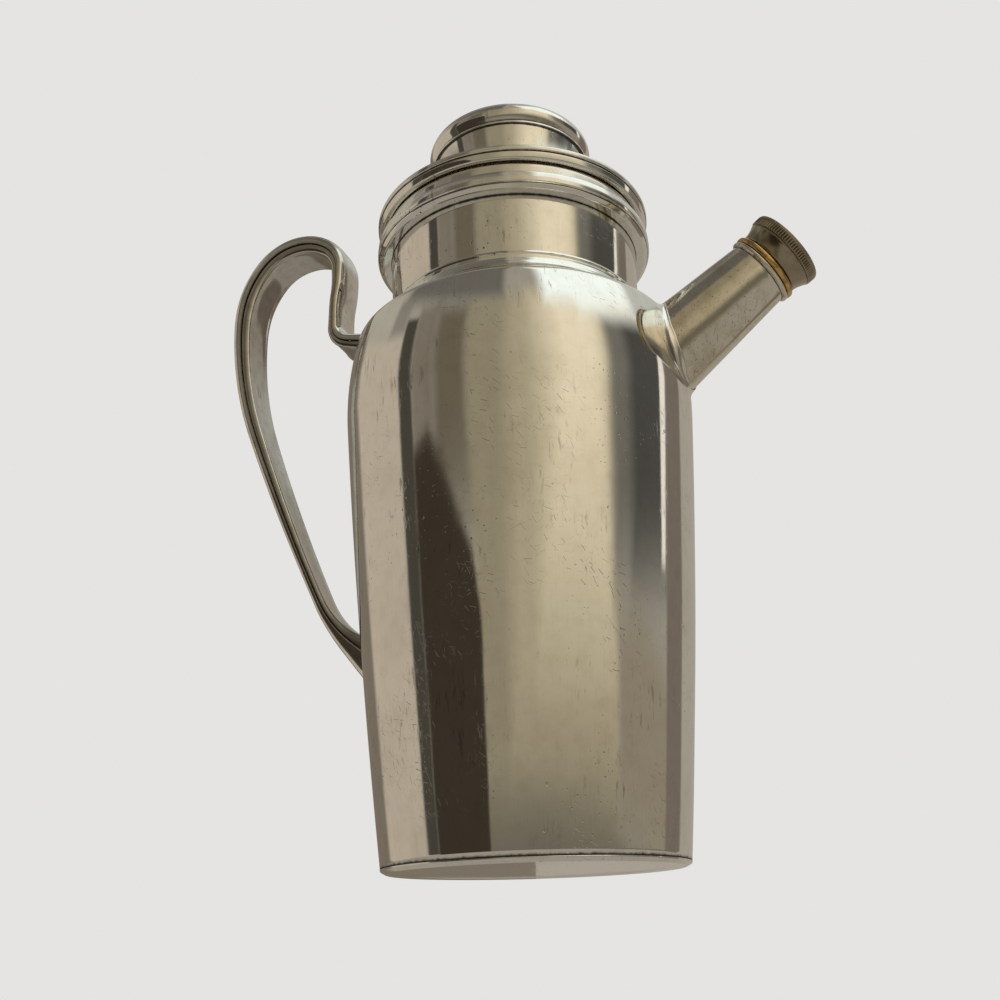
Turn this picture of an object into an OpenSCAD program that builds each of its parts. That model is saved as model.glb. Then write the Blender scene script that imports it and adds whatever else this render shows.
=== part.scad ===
// Silver-plated cocktail shaker with a strainer spout, a screw cap, a hollow
// C-shaped handle and a lift-off lid.
// Origin at the centre of the underside, +Z up, spout toward +X, handle toward -X.

/* [Body] */
// Width of the body at its base
base_d = 92; // [84:1:98]
// Width of the body at its widest, just under the shoulder
max_d = 116.8; // [110:0.2:122]
// Height of the widest place
widest_z = 142; // [136:1:146]
// Thickness of the spun sheet
sheet = 1; // [0.8:0.1:1.2]
// Height of the seam where the base pan meets the wall
seam_z = 1.6; // [1.2:0.1:2.4]

/* [Neck] */
// Outside width of the neck, half way up
neck_d = 87.6; // [84:0.2:90]
// Height of the seat that the lid rests on
seat_z = 219.2; // [216:0.2:224]
// Width of the rolled rim
rim_d = 98.2; // [96:0.2:102]

/* [Lid] */
// Overall height of the closed shaker
overall_h = 260; // [252:1:266]
// Width of the knob's wall
knob_d = 56.6; // [50:0.2:60]
// Width of the bead at the top of the knob
knob_bead_d = 60.2; // [58:0.2:64]
// How far the lid's plug reaches below the seat
plug_depth = 20; // [14:1:26]

/* [Spout] */
// Angle of the spout above the horizontal
spout_tilt = 35.7; // [33:0.1:38]
// Outside width of the spout at its root
spout_root_d = 29.2; // [28:0.2:30]
// Outside width of the spout at its lip
spout_lip_d = 23; // [22.4:0.2:24]
// Distance along the spout from its root to its lip
spout_len = 42.5; // [40:0.5:46]
// Pitch of the cap's thread
pitch = 2.2; // [2:0.1:2.4]
// Width over the milled rim of the spout cap
cap_d = 27.2; // [26.6:0.2:28.4]
// Number of ridges on the milled rim
ridges = 84; // [60:2:96]

/* [Handle] */
// Width of the handle at the top of the grip
handle_w = 15.6; // [14:0.2:16.4]
// Thickness of the handle at the top of the grip
handle_t = 7.8; // [7:0.2:8.6]
// Width and thickness at the lower end, as a share of those at the top
handle_taper = 0.68; // [0.62:0.02:0.8]
// How far the outside of the grip stands from the axis
handle_reach = 109.4; // [109.2:0.2:112]

/* [Hidden] */
$fn = 96;
eps = 0.01;

// The body's outside is a chain of arcs from the seam to the neck. A point is
// [radius, height, lean], and lean is the wall's angle from upright, + inward.
wall_bulge = 0.9;
wall_chord = norm([(max_d - base_d) / 2, widest_z - seam_z]);
wall_radius = wall_chord * wall_chord / (8 * wall_bulge) + wall_bulge / 2;
wall_lean = -atan((max_d - base_d) / 2 / (widest_z - seam_z));
wall_half_turn = asin(wall_chord / 2 / wall_radius);
shoulder_radius = 105;
shoulder_lean = 13;
edge_radius = 4;
edge_lean = 80;

function arc_up(from, radius, lean, n) =
    [for (i = [1:n]) let (a = from[2] + (lean - from[2]) * i / n)
        [from[0] + radius * (cos(a) - cos(from[2])), from[1] + radius * (sin(a) - sin(from[2])), a]];
function last(list) = list[len(list) - 1];
function inset(path, t) = [for (p = path) [p[0] - t * cos(p[2]), p[1] - t * sin(p[2])]];
function reversed(list) = [for (i = [len(list) - 1:-1:0]) list[i]];

neck_r = neck_d / 2;
neck_flare = 0.4;
foot_r = neck_r - neck_flare;
top_r = neck_r + neck_flare;

wall_start = [base_d / 2, seam_z, wall_lean - wall_half_turn];
wall_arc = arc_up(wall_start, wall_radius, wall_lean + wall_half_turn, 8);
shoulder_arc = arc_up(last(wall_arc), shoulder_radius, shoulder_lean, 6);
edge_arc = arc_up(last(shoulder_arc), edge_radius, edge_lean, 8);
cove_radius = (last(edge_arc)[0] - foot_r) / (1 - cos(edge_lean));
cove_arc = arc_up(last(edge_arc), -cove_radius, 0, 8);
body_path = concat([wall_start], wall_arc, shoulder_arc, edge_arc, cove_arc);
neck_z = last(body_path)[1];

// Base
flange_h = 6;
flange_t = 0.8;
heel_radius = 1.4;

// Neck: a tube on the body's mouth, a hollow rim round its top and a liner down inside it
rim_r = rim_d / 2;
rim_h = 6;
rim_z = seat_z - 10.8;
rim_corner = 1.1;
step_r = neck_r + 2.6;
step_corner = 0.6;
liner_t = 0.8;
liner_z = neck_z - 4;
liner_r = foot_r - sheet;
bore_r = liner_r - liner_t;
plug_t = 0.8;
plug_r = bore_r - 0.35;

// Lid
gasket_gap = 0.2;
gasket_t = 1;
gasket_z = seat_z + gasket_gap;
roll_r = 2.9;
roll_sheet = 0.9;
roll_z = seat_z + 0.6 + roll_r;
crown_cove_radius = 12;
crown_cove_lean = 55;
crown_dome_radius = 30;
crown_dome_lean = 82;
crown_start = [rim_r - roll_r, roll_z + roll_r, 90];
crown_cove = arc_up(crown_start, -crown_cove_radius, crown_cove_lean, 6);
crown_dome = arc_up(last(crown_cove), crown_dome_radius, crown_dome_lean, 8);
crown_path = concat([crown_start], crown_cove, crown_dome);
knob_bead_r = 4.7;
knob_bead_x = knob_bead_d / 2 - knob_bead_r;
knob_bead_z = overall_h - knob_bead_r;
drum_z = last(crown_dome)[1] + 0.4;
drum_top_z = overall_h - 9;
drum_waist = 0.6;
knob_sheet = 0.9;

// Spout: everything on it is drawn along its own axis, then laid on the body
spout_x = 51.5;
spout_z = 160.8;
tube_t = 1;
tube_start = -5;
function tube_r(s) = spout_root_d / 2 + (spout_lip_d - spout_root_d) / 2 * s / spout_len;
saddle_d = 38;
saddle_t = 0.9;
sleeve_t = 0.5;
sleeve_rise = 3.2;
strainer_s = 13;
strainer_hole_d = 2;
strainer_step = 3.3;
nozzle_bore_r = 7.6;
thread_root_r = 9;
thread_depth = 0.75;
thread_clearance = 0.3;
thread_start = spout_len + 4.2;
bead_r = 12.8;
bead_h = 3;
nozzle_len = 9.7;
cap_gap = 0.4;
cap_start = spout_len + bead_h + cap_gap;
cap_h = 9.1;
cap_wall_r = 10.7;
cap_skirt_r = 11.6;
cap_flare_r = 12.9;
cap_skirt_h = 5;
cap_top_t = 1;
washer_t = 1.5;
cap_top_s = cap_start + cap_h - cap_top_t;

// Handle: the line of its seam is a chain of lines and arcs in the XZ plane
handle_foot = [-42.1, 183.4];
hook_angle = 165;
hook_lead = 22.9;
elbow_radius = 8;
hook_lean = 82;
bow_radius = 54;
bow_lean = 95;
near_radius = 12.6;
near_lean = 140;
loop_top_z = 236.4;
crown_radius = 19;
crown_lean = 230;
flank_radius = 34;
flank_lean = 258;
back_radius = 45;
grip_radius = 137;
grip_lean = 290;
reach_radius = 800;
reach_lean = 295.2;
tail_radius = 45;
tail_lean = 322;
tail_straight = 12;
handle_shell_share = 0.6;
handle_face_width = 0.95;
handle_sheet = 0.9;
seam_gap = 0.1;
pad_t = 0.8;
upper_pad_z = 180.2;
upper_pad_w = 13.6;
upper_pad_h = 14;
lower_pad_z = 76;
lower_pad_w = 10;
lower_pad_h = 22;

// ---- shared shapes ----

module body_solid(grow) {
    rotate_extrude()
        polygon(concat([[0, seam_z - 1]], [[inset(body_path, -grow)[0][0], seam_z - 1]],
                       inset(body_path, -grow), [[foot_r + grow, rim_z - 3], [0, rim_z - 3]]));
}

module on_spout() {
    translate([spout_x, 0, spout_z])
        rotate([0, 90 - spout_tilt, 0])
            children();
}

module ring(r_in, r_out, h) {
    rotate_extrude()
        translate([r_in, 0])
            square([r_out - r_in, h]);
}

// One thread ridge: a wedge section carried up a helix, outward for dir = 1
module thread(r_base, dir, turns, start_angle) {
    steps = 30;
    half_base = 0.52;
    half_tip = 0.25;
    n = ceil(turns * steps);
    r_foot = r_base - dir * 0.12;
    r_tip = r_base + dir * thread_depth;
    // The ridge fades in and out over its first and last few steps
    points = [for (i = [0:n])
        let (a = start_angle + 360 * i / steps, z = pitch * i / steps,
             fade = min(1, min(i + 0.6, n - i + 0.6) / 4),
             tip = r_foot + (r_tip - r_foot) * fade)
        each [for (c = [[r_foot, -half_base], [tip, -half_tip], [tip, half_tip], [r_foot, half_base]])
            [c[0] * cos(a), c[0] * sin(a), z + c[1]]]];
    sides = [for (i = [0:n - 1]) for (k = [0:3])
        let (k2 = (k + 1) % 4)
        [4 * i + k, 4 * i + k2, 4 * i + 4 + k2, 4 * i + 4 + k]];
    split = [for (f = sides) each [[f[0], f[1], f[2]], [f[0], f[2], f[3]]]];
    ends = [[3, 2, 1, 0], [4 * n, 4 * n + 1, 4 * n + 2, 4 * n + 3]];
    faces = concat(split, ends);
    polyhedron(points, dir > 0 ? faces : [for (f = faces) reversed(f)]);
}

// ---- vessel ----

module body_shell() {
    color("silver")
    difference() {
        rotate_extrude()
            polygon(concat(inset(body_path, 0), reversed(inset(body_path, sheet))));
        on_spout()
            translate([0, 0, -15])
                cylinder(r = tube_r(0) - tube_t - 0.6, h = 45);
    }
}

module base_pan() {
    r = base_d / 2;
    color("gainsboro")
    rotate_extrude() {
        square([r - heel_radius, sheet]);
        difference() {
            translate([r - heel_radius, heel_radius])
                circle(heel_radius);
            translate([0, sheet])
                square([r + 1, 2 * heel_radius]);
        }
    }
}

// Upright flange that is soldered inside the wall's foot and carries the pan
module base_flange() {
    color("tan")
    translate([0, 0, sheet])
        ring(base_d / 2 - sheet - flange_t - 0.1, base_d / 2 - sheet - 0.1, flange_h);
}

module neck() {
    color("silver")
    rotate_extrude()
        polygon([[foot_r, neck_z], [top_r, rim_z], [top_r, seat_z - sheet],
                 [top_r - sheet, seat_z - sheet], [top_r - sheet, rim_z], [foot_r - sheet, neck_z]]);
}

module neck_rim() {
    hollow = 1.2;
    color("silver")
    rotate_extrude()
        difference() {
            union() {
                translate([top_r, rim_z + 0.6])
                    square([rim_r - top_r, rim_h - 1.6]);
                translate([top_r, rim_z])
                    square([rim_r - top_r - rim_corner, rim_h]);
                for (z = [rim_z + rim_corner, rim_z + rim_h - rim_corner])
                    translate([rim_r - rim_corner, z])
                        circle(rim_corner);
                translate([top_r, rim_z + rim_h - sheet])
                    square([step_r - top_r, seat_z - rim_z - rim_h]);
                translate([bore_r, seat_z - sheet])
                    square([step_r - step_corner - bore_r, sheet]);
                translate([step_r - step_corner, seat_z - step_corner])
                    circle(step_corner);
            }
            translate([top_r - eps, rim_z + hollow])
                square([rim_r - top_r - hollow, rim_h - 2 * hollow]);
        }
}

module neck_liner() {
    color("tan")
    translate([0, 0, liner_z])
        ring(bore_r, liner_r, seat_z - sheet - liner_z);
}

// ---- spout ----

module strainer() {
    bore = tube_r(strainer_s + 1) - tube_t;
    color("silver")
    on_spout()
        translate([0, 0, strainer_s])
            linear_extrude(1)
                difference() {
                    circle(bore);
                    for (i = [-4:4])
                        for (j = [-4:4]) {
                            p = [(i + j / 2) * strainer_step, j * sqrt(3) / 2 * strainer_step];
                            if (norm(p) < bore - 2.2)
                                translate(p)
                                    circle(d = strainer_hole_d, $fn = 32);
                        }
                }
}

module spout_tube() {
    color("silver")
    difference() {
        on_spout() {
            difference() {
                translate([0, 0, tube_start])
                    cylinder(r1 = tube_r(tube_start), r2 = tube_r(spout_len), h = spout_len - tube_start);
                translate([0, 0, 2 * tube_start])
                    cylinder(r1 = tube_r(2 * tube_start) - tube_t, r2 = tube_r(spout_len + 1) - tube_t,
                             h = spout_len + 1 - 2 * tube_start);
            }
            translate([0, 0, spout_len - 1.3])
                ring(tube_r(spout_len) - tube_t / 2, tube_r(spout_len) + 0.5, 1.3);
        }
        body_solid(0);
    }
}

// Drawn from the body's metal: a foot laid on the wall and a short sleeve round the spout's root
module spout_saddle() {
    below = -20;
    color("silver")
    difference() {
        union() {
            intersection() {
                body_solid(saddle_t);
                on_spout()
                    translate([0, 0, tube_start])
                        cylinder(r1 = saddle_d / 2, r2 = saddle_d / 2 - 2, h = 40);
            }
            intersection() {
                body_solid(sleeve_rise);
                on_spout()
                    translate([0, 0, below])
                        cylinder(r1 = tube_r(below) + sleeve_t, r2 = tube_r(spout_len) + sleeve_t,
                                 h = spout_len - below);
            }
        }
        body_solid(0);
        on_spout()
            translate([0, 0, below])
                cylinder(r1 = tube_r(below), r2 = tube_r(spout_len), h = spout_len - below);
    }
}

module spout_nozzle() {
    color("goldenrod")
    on_spout() {
        translate([0, 0, spout_len - 6])
            ring(nozzle_bore_r, tube_r(spout_len) - tube_t - 0.05, 6);
        translate([0, 0, spout_len])
            ring(nozzle_bore_r, bead_r - bead_h / 2, bead_h);
        translate([0, 0, spout_len + bead_h / 2])
            rotate_extrude()
                translate([bead_r - bead_h / 2, 0])
                    circle(bead_h / 2);
        translate([0, 0, spout_len + bead_h])
            ring(nozzle_bore_r, thread_root_r, nozzle_len - bead_h);
        translate([0, 0, thread_start])
            thread(thread_root_r, 1, 2.1, 0);
    }
}

// ---- handle ----

// A leg is [point, heading] at its end; heading is in degrees from +X
function line_on(from, len) =
    [from[0] + len * [cos(from[1]), sin(from[1])], from[1]];
function turn_on(from, radius, heading, n) =
    [for (i = [1:n])
        let (s = heading > from[1] ? 1 : -1, a = from[1] + (heading - from[1]) * i / n,
             c = from[0] + s * radius * [-sin(from[1]), cos(from[1])])
        [c + s * radius * [sin(a), -cos(a)], a]];

hook_start = [handle_foot, hook_angle];
hook_lead_end = line_on(hook_start, hook_lead);
elbow = turn_on(hook_lead_end, elbow_radius, 90, 8);

// The hook bows toward the body, then turns over into the crown of the loop
function bow_on(from) =
    let (inward = turn_on(from, bow_radius, hook_lean, 3),
         outward = turn_on(last(inward), bow_radius, bow_lean, 4),
         near = turn_on(last(outward), near_radius, near_lean, 6))
    concat(inward, outward, near, turn_on(last(near), crown_radius, 180, 6));
bow_rise = last(bow_on([[0, 0], 90]))[0][1];
hook_end = line_on(last(elbow), loop_top_z - bow_rise - last(elbow)[0][1]);
bow = bow_on(hook_end);

// From the top of the loop down its back to where the grip begins
function back_on(from) =
    let (crown = turn_on(from, crown_radius, crown_lean, 8),
         flank = turn_on(last(crown), flank_radius, flank_lean, 5))
    concat(crown, flank, turn_on(last(flank), back_radius, 270, 3));
back_run = last(back_on([[0, 0], 180]))[0][0];
loop_top = line_on(last(bow), last(bow)[0][0] + handle_reach + back_run);
back = back_on(loop_top);
grip = turn_on(last(back), grip_radius, grip_lean, 10);
reach = turn_on(last(grip), reach_radius, reach_lean, 8);
tail = turn_on(last(reach), tail_radius, tail_lean, 6);
tail_end = line_on(last(tail), tail_straight);
handle_path = concat([hook_start, hook_lead_end], elbow, [hook_end], bow, [loop_top], back, grip,
                     reach, tail, [tail_end]);

// Size of the strap along its length: it swells at both feet and at the loop, and tapers to the tail
function path_len(i) =
    i == 0 ? 0 : path_len(i - 1) + norm(handle_path[i][0] - handle_path[i - 1][0]);
handle_at = [for (i = [0:len(handle_path) - 1]) path_len(i)];
depth_shares = [[0, 0.95], [18, 0.92], [28, 0.72], [36, 0.57], [46, 0.57], [62, 0.74], [84, 1.17], [100, 1.18],
                [129, 1], [176, 0.79], [229, 0.58], [250, 0.57], [262, 0.8], [274, 1.45], [288, 2.1]];
width_shares = [[129, 0], [154, 0.2], [177, 0.42], [204, 0.58], [229, 0.76], [251, 1], [286, 1]];
blend_reach = 5;
function smoothed(s, table) =
    (lookup(s - blend_reach, table) + 2 * lookup(s, table) + lookup(s + blend_reach, table)) / 4;
function strap_depth(s) = smoothed(s, depth_shares);
function strap_width(s) = 1 - (1 - handle_taper) * smoothed(s, width_shares);

// Rounded half section from the seam to one side of the strap, [across, outward]
function half_section(w, depth, n) =
    [for (i = [0:n])
        let (a = 180 * i / n)
        [w / 2 * sign(cos(a)) * pow(abs(cos(a)), 0.45), depth * pow(abs(sin(a)), 0.55)]];

module strap(width, depth, side) {
    n = 12;
    count = len(handle_path);
    loop = 2 * (n + 1);
    points = [for (i = [0:count - 1])
        let (w = width * strap_width(handle_at[i]), d = depth * strap_depth(handle_at[i]),
             outer = half_section(w, d, n),
             inner = reversed(half_section(w - 2 * handle_sheet, d - handle_sheet, n)),
             h = handle_path[i][1], p = handle_path[i][0])
        each [for (q = concat(outer, inner))
            let (out = side * (q[1] + seam_gap / 2))
            [p[0] + out * sin(h), q[0], p[1] - out * cos(h)]]];
    sides = [for (i = [0:count - 2]) for (k = [0:loop - 1])
        let (k2 = (k + 1) % loop, a = loop * i, b = loop * (i + 1))
        each [[a + k, a + k2, b + k2], [a + k, b + k2, b + k]]];
    ends = concat(
        [for (k = [0:n - 1]) each [[k, loop - 1 - k, loop - 2 - k], [k, loop - 2 - k, k + 1]]],
        [for (k = [0:n - 1]) let (o = loop * (count - 1))
            each [[o + k, o + loop - 2 - k, o + loop - 1 - k], [o + k, o + k + 1, o + loop - 2 - k]]]);
    faces = concat(sides, ends);
    polyhedron(points, side > 0 ? faces : [for (f = faces) reversed(f)]);
}

module handle_back() {
    color("silver")
    difference() {
        strap(handle_w, handle_t * handle_shell_share, 1);
        body_solid(pad_t);
    }
}

module handle_face() {
    color("gainsboro")
    difference() {
        strap(handle_w * handle_face_width, handle_t * (1 - handle_shell_share), -1);
        body_solid(pad_t);
    }
}

// A soldered seat that follows the body's surface round the end of the handle
module pad(height, width, tall) {
    intersection() {
        difference() {
            body_solid(pad_t - 0.05);
            body_solid(0.02);
        }
        translate([-80, 0, height])
            rotate([0, 90, 0]) {
                translate([0, 0, 30])
                    cube([tall - width, width, 60], center = true);
                for (end = [-1, 1])
                    translate([end * (tall - width) / 2, 0, 0])
                        cylinder(d = width, h = 60);
            }
    }
}

module handle_upper_joint() {
    color("silver")
    pad(upper_pad_z, upper_pad_w, upper_pad_h);
}

module handle_lower_joint() {
    color("silver")
    pad(lower_pad_z, lower_pad_w, lower_pad_h);
}

// ---- lid ----

// The cover rises from its rolled rim in a shallow dome that closes under the knob
module lid_crown() {
    color("silver")
    rotate_extrude() {
        translate([rim_r - roll_r, roll_z])
            difference() {
                circle(roll_r);
                circle(roll_r - roll_sheet);
            }
        polygon(concat(inset(crown_path, 0), [[0, last(crown_path)[1]]], [[0, last(crown_path)[1] - sheet]],
                       reversed(inset(crown_path, sheet))));
    }
}

module lid_plate() {
    color("silver")
    translate([0, 0, gasket_z + gasket_t])
        ring(plug_r - plug_t, rim_r - roll_r - 2.7, sheet);
}

module lid_plug() {
    color("tan")
    translate([0, 0, seat_z - plug_depth])
        ring(plug_r - plug_t, plug_r, plug_depth + gasket_gap + gasket_t);
}

module lid_gasket() {
    color("peru")
    translate([0, 0, gasket_z])
        ring(plug_r, step_r - 3, gasket_t);
}

module knob_drum() {
    r = knob_d / 2;
    h = drum_top_z - drum_z;
    color("silver")
    translate([0, 0, drum_z])
        rotate_extrude()
            polygon(concat(
                [for (i = [0:8]) [r - drum_waist * sin(180 * i / 8), h * i / 8]],
                [for (i = [8:-1:0]) [r - knob_sheet - drum_waist * sin(180 * i / 8), h * i / 8]]));
}

module knob_top() {
    color("silver")
    rotate_extrude() {
        translate([knob_bead_x, knob_bead_z])
            difference() {
                circle(knob_bead_r);
                circle(knob_bead_r - knob_sheet);
            }
        translate([0, overall_h - knob_sheet])
            square([knob_bead_x, knob_sheet]);
    }
}

// ---- spout cap ----

module cap_shell() {
    rim_z0 = cap_skirt_h + 0.3;
    rim_z1 = cap_h - 0.7;
    groove = 0.3;
    color("darkkhaki")
    on_spout()
        translate([0, 0, cap_start])
            difference() {
                union() {
                    rotate_extrude()
                        polygon(concat([[0, 0]],
                            [for (i = [0:8]) let (u = i / 8)
                                [cap_skirt_r + (cap_flare_r - cap_skirt_r) * u * u, cap_skirt_h * u]],
                            [[cap_d / 2 - 1, cap_skirt_h], [cap_d / 2 - 1, rim_z1],
                             [cap_d / 2 - 1.6, cap_h], [0, cap_h]]));
                    translate([0, 0, rim_z0])
                        linear_extrude(rim_z1 - rim_z0)
                            polygon([for (i = [0:4 * ridges - 1])
                                let (a = 360 * i / (4 * ridges), r = cap_d / 2 - (i % 4 < 2 ? 0 : groove))
                                [r * cos(a), r * sin(a)]]);
                }
                translate([0, 0, -1])
                    cylinder(r = cap_wall_r, h = 1 + cap_h - cap_top_t);
            }
}

module cap_insert() {
    r_root = thread_root_r + thread_depth + thread_clearance;
    color("goldenrod")
    on_spout() {
        translate([0, 0, cap_start + 0.2])
            ring(r_root, cap_wall_r, cap_h - cap_top_t - washer_t - 0.3);
        translate([0, 0, thread_start + pitch / 2])
            thread(r_root, -1, 1.2, 0);
    }
}

module cap_washer() {
    color("peru")
    on_spout()
        translate([0, 0, cap_top_s - washer_t])
            cylinder(r = cap_wall_r - 0.1, h = washer_t - 0.05);
}

body_shell();
base_pan();
base_flange();
neck();
neck_rim();
neck_liner();
strainer();
spout_tube();
spout_saddle();
spout_nozzle();
handle_back();
handle_face();
handle_upper_joint();
handle_lower_joint();
lid_crown();
lid_plate();
lid_plug();
lid_gasket();
knob_drum();
knob_top();
cap_shell();
cap_insert();
cap_washer();
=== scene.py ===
"""A silver-plated cocktail shaker with a strainer spout, a hollow handle and a lift-off lid.

Shapes are drawn in millimetres in the CAD frame and scaled to metres when a mesh is made.
"""

import bisect
import math
import random

import bmesh
import bpy
import numpy as np
from mathutils import Matrix, Vector, noise


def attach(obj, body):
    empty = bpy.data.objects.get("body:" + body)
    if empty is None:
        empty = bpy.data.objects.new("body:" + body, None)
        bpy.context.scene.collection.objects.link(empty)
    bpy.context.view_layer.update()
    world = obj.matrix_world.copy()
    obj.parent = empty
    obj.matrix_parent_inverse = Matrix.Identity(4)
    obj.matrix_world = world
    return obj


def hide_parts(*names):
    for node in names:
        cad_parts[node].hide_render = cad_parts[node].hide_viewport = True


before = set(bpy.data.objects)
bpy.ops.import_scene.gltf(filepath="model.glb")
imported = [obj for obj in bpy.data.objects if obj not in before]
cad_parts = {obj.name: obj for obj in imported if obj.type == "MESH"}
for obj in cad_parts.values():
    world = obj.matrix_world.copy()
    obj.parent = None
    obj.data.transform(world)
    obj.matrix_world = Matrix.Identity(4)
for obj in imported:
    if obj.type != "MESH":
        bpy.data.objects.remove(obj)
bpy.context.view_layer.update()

MM = 0.001
SEGMENTS = 240
SCENE = bpy.context.scene

# ---- sizes, in millimetres, as in the CAD ----
BASE_R, MAX_R, WIDEST_Z, SEAM_Z = 46.0, 58.4, 142.0, 1.6
SHEET = 1.0
NECK_R, NECK_FLARE = 43.8, 0.4
SEAT_Z, RIM_R, RIM_H = 219.2, 49.1, 6.0
RIM_Z = SEAT_Z - 10.8
TOTAL_H = 260.0
SPOUT_X, SPOUT_Z, SPOUT_TILT = 51.5, 160.8, 35.7
SPOUT_ROOT_R, SPOUT_LIP_R, SPOUT_LEN = 14.6, 11.5, 42.5
HOLE_R, PITCH = 12.8, 2.2


# ---- curves ----


def smooth(x):
    x = min(1.0, max(0.0, x))
    return x * x * (3 - 2 * x)


def arc_up(start, radius, lean, n):
    """Points [radius, height, lean] on an arc from start to a wall leaning lean degrees inward."""
    r, z, a0 = start
    out = []
    for i in range(1, n + 1):
        a = math.radians(a0 + (lean - a0) * i / n)
        b = math.radians(a0)
        out.append((r + radius * (math.cos(a) - math.cos(b)), z + radius * (math.sin(a) - math.sin(b)),
                    math.degrees(a)))
    return out


def inset(path, t):
    return [(p[0] - t * math.cos(math.radians(p[2])), p[1] - t * math.sin(math.radians(p[2])))
            for p in path]


def rounded(points, steps=6):
    """A polyline of (x, y) or (x, y, corner radius) with its corners turned into arcs."""
    out = []
    for i, p in enumerate(points):
        radius = p[2] if len(p) > 2 else 0
        if not radius or i in (0, len(points) - 1):
            out.append((p[0], p[1]))
            continue
        here = Vector(p[:2])
        back, ahead = (Vector(points[i + d][:2]) - here for d in (-1, 1))
        turn = back.angle(ahead)
        reach = radius / math.tan(turn / 2)
        start, end = here + back.normalized() * reach, here + ahead.normalized() * reach
        centre = here + (back.normalized() + ahead.normalized()).normalized() * (radius / math.sin(turn / 2))
        a0 = math.atan2(start.y - centre.y, start.x - centre.x)
        a1 = math.atan2(end.y - centre.y, end.x - centre.x)
        sweep = (a1 - a0 + math.pi) % (2 * math.pi) - math.pi
        for k in range(steps + 1):
            a = a0 + sweep * k / steps
            out.append((centre.x + radius * math.cos(a), centre.y + radius * math.sin(a)))
    return out


def resample(path, step):
    """The polyline with extra points, so that none of its legs is longer than step."""
    out = [tuple(path[0][:2])]
    for a, b in zip(path, path[1:]):
        a, b = Vector(a[:2]), Vector(b[:2])
        n = max(1, math.ceil((b - a).length / step))
        out += [tuple(a.lerp(b, k / n)) for k in range(1, n + 1)]
    return out


# ---- meshes ----


def finish_piece(obj, material, body, nodes):
    obj.data.materials.clear()
    obj.data.materials.append(material)
    for polygon in obj.data.polygons:
        polygon.use_smooth = True
    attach(obj, body)
    if nodes:
        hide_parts(*nodes)
    return obj


def make_object(name, mesh):
    obj = bpy.data.objects.new(name, mesh)
    SCENE.collection.objects.link(obj)
    return obj


def grid_mesh(name, rows, wrap_u=True, wrap_v=False, u_at=None, v_at=None, tarnish_and_shade=None):
    """A mesh of quads over rows of points in mm, with UVs in metres and a per-point amount of crevice
    darkening that is partly tarnish and partly painted shade.
    """
    nv, nu = len(rows), len(rows[0])
    verts = [(p[0] * MM, p[1] * MM, p[2] * MM) for row in rows for p in row]
    faces, uvs = [], []
    u_at = u_at or [j for j in range(nu + 1)]
    v_at = v_at or [i for i in range(nv + 1)]
    for i in range(nv if wrap_v else nv - 1):
        for j in range(nu if wrap_u else nu - 1):
            i2, j2 = (i + 1) % nv, (j + 1) % nu
            faces.append((i * nu + j, i * nu + j2, i2 * nu + j2, i2 * nu + j))
            uvs += [(u_at[j] * MM, v_at[i] * MM), (u_at[j + 1] * MM, v_at[i] * MM),
                    (u_at[j + 1] * MM, v_at[i + 1] * MM), (u_at[j] * MM, v_at[i + 1] * MM)]
    mesh = bpy.data.meshes.new(name)
    mesh.from_pydata(verts, [], faces)
    layer = mesh.uv_layers.new(name="UVMap")
    layer.data.foreach_set("uv", [x for uv in uvs for x in uv])
    attribute = mesh.attributes.new("tarnish_and_shade", "FLOAT", "POINT")
    if tarnish_and_shade:
        attribute.data.foreach_set("value", tarnish_and_shade)
    return mesh


def tidy_mesh(obj, merge=1e-7):
    """Merges doubled points, drops faces with no area and turns the faces outward."""
    bm = bmesh.new()
    bm.from_mesh(obj.data)
    bmesh.ops.remove_doubles(bm, verts=bm.verts, dist=merge)
    bmesh.ops.dissolve_degenerate(bm, edges=bm.edges, dist=merge)
    bmesh.ops.recalc_face_normals(bm, faces=bm.faces)
    bm.to_mesh(obj.data)
    bm.free()


def lathe(name, profile, place=None, segments=SEGMENTS, tarnish_and_shade_bands=(), wave=0.0, seed=0):
    """profile, of (radius, height) points, turned about Z. tarnish_and_shade_bands are (height, reach,
    strength) bands of darkening at seams and grooves: partly tarnish, partly painted shade.
    """
    reach = max(p[0] for p in profile)
    rows, tarnish_and_shade, v_at, run = [], [], [], 0.0
    for i, p in enumerate(profile):
        if i:
            run += math.hypot(p[0] - profile[i - 1][0], p[1] - profile[i - 1][1])
        v_at.append(run)
        row = []
        for j in range(segments):
            a = 2 * math.pi * j / segments
            r = p[0]
            if wave:
                r += wave * noise.noise(Vector((2 * math.cos(a), 2 * math.sin(a), p[1] / 30 + seed)))
            row.append(Vector((r * math.cos(a), r * math.sin(a), p[1])))
        rows.append(row)
        # Darkening of this ring of points from the bands: partly tarnish, partly painted shade.
        amount = min(1.0, sum(s * smooth(1 - abs(p[1] - z) / w) for z, w, s in tarnish_and_shade_bands))
        tarnish_and_shade += [amount] * segments
    v_at.append(run + 1)
    if place:
        rows = [[place @ p for p in row] for row in rows]
    u_at = [2 * math.pi * reach * j / segments for j in range(segments + 1)]
    mesh = grid_mesh(name, rows, True, True, u_at, v_at, tarnish_and_shade)
    obj = make_object(name, mesh)
    tidy_mesh(obj)
    return obj


def apply_modifier(obj, modifier):
    with bpy.context.temp_override(object=obj, active_object=obj):
        bpy.ops.object.modifier_apply(modifier=modifier.name)


def mark_sharp(obj, degrees=40):
    obj.data.set_sharp_from_angle(angle=math.radians(degrees))


# ---- materials ----


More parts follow.
